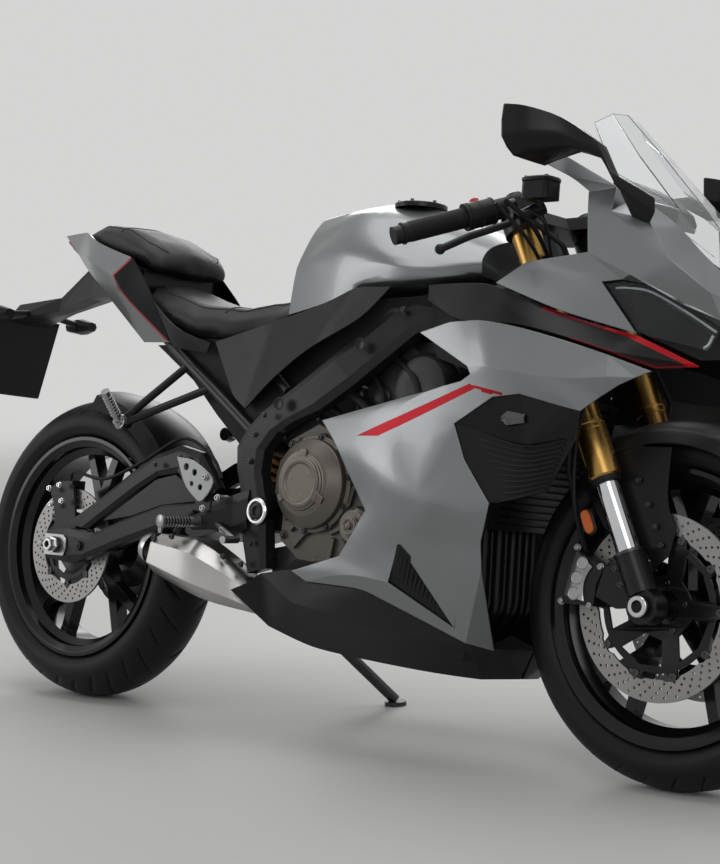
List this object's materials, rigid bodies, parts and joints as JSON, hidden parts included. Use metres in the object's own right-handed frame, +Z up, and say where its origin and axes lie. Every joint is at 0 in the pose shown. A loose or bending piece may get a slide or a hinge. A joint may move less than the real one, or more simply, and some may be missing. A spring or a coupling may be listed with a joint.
{
  "type": "motorcycle",
  "caption": "Sport motorcycle with full fairing, twin-spar frame, upside-down fork and cast wheels, leaning on its side stand; wheels, steering and stand move.",
  "frame": {"origin": "bottom centre of the bounding box, on the ground", "axes": "+X to the front of the machine, +Y to the rider's left, +Z up; the machine itself leans 10.15 degrees to +Y on its side stand"},
  "size_m": [2.124, 0.7562, 1.1329],
  "materials": {
    "tyre": "rubber of a road tyre",
    "black_alloy": "satin black paint",
    "disc_steel": "ground steel",
    "dark_steel": "dark plated steel",
    "gold_alloy": "gold anodised",
    "chrome": "hard chrome",
    "rubber": "moulded rubber",
    "black_plastic": "grained black",
    "silver_bodywork": "silver-grey metallic lacquer",
    "silver_tank": "silver-grey metallic lacquer",
    "frame_grey": "dark grey paint",
    "engine_grey": "satin black paint",
    "bronze_cover": "bronze-grey paint",
    "brushed_steel": "brushed stainless steel",
    "bare_alloy": "satin alloy",
    "seat_cover": "black seat vinyl",
    "red_lens": "red lamp lens",
    "clear_lens": "clear lamp lens",
    "lamp_lens": "clear headlamp lens",
    "clear_screen": "clear screen plastic"
  },
  "bodies": {
    "frame": {"belly_pans": "black_plastic", "chain_adjusters": "bare_alloy", "clutch_cover": "bronze_cover", "drive_chain": "dark_steel", "drive_sprocket": "dark_steel", "engine": "engine_grey", "engine_side_covers": "engine_grey", "exhaust_headers": "brushed_steel", "fairing_stay": "dark_steel", "footrests": "bare_alloy", "fuel_tank": "silver_tank", "headlamps": "lamp_lens", "indicators": "clear_lens", "instrument_pod": "black_plastic", "intake_panels": "black_plastic", "main_frame": "frame_grey", "mid_cowls": "black_plastic", "mirrors": "black_plastic", "muffler": "brushed_steel", "muffler_end": "black_plastic", "nose_cowls": "silver_bodywork", "passenger_seat": "seat_cover", "plate_hanger": "black_plastic", "radiator": "black_alloy", "rear_axle": "dark_steel", "rear_caliper": "black_alloy", "rear_mudguard": "black_plastic", "rear_strut": "dark_steel", "rider_seat": "seat_cover", "seat_carrier": "black_plastic", "side_fairings": "silver_bodywork", "swingarm": "black_alloy", "swingarm_pivot": "dark_steel", "tail_cowls": "silver_bodywork", "tail_lamp": "red_lens", "tank_covers": "black_plastic", "windscreen": "clear_screen"},
    "fork": {"fork_tubes": "gold_alloy", "fork_stanchions": "chrome", "fork_feet": "black_alloy", "front_axle": "dark_steel", "upper_yoke": "black_alloy", "lower_yoke": "black_alloy", "clip_on_bars": "black_alloy", "grips": "rubber", "bar_controls": "black_plastic", "front_calipers": "black_alloy", "front_mudguard": "black_plastic", "brake_hoses": "rubber"},
    "front_wheel": {"front_tyre": "tyre", "front_rim": "black_alloy", "front_discs": "disc_steel"},
    "rear_wheel": {"rear_tyre": "tyre", "rear_rim": "black_alloy", "rear_disc": "disc_steel", "rear_sprocket": "dark_steel"},
    "side_stand": {"side_stand": "dark_steel"}
  },
  "joints": [
    {"name": "steering", "type": "hinge", "parent": "frame", "child": "fork", "pos_m": [0.47284, -0.03445, 0.80848], "axis": [-0.4305, 0.1591, 0.8885], "range_deg": [-25, 25]},
    {"name": "front_wheel_spin", "type": "hinge", "parent": "fork", "child": "front_wheel", "pos_m": [0.76297, -0.12608, 0.29662], "axis": [0, 0.9843, -0.1762], "continuous": true},
    {"name": "rear_wheel_spin", "type": "hinge", "parent": "frame", "child": "rear_wheel", "pos_m": [-0.68703, -0.12344, 0.31138], "axis": [0, 0.9843, -0.1762], "continuous": true},
    {"name": "side_stand_hinge", "type": "hinge", "parent": "frame", "child": "side_stand", "pos_m": [-0.16703, -0.04263, 0.19533], "axis": [0.1895, 0.7687, 0.6109], "range_deg": [0, 110]}
  ]
}
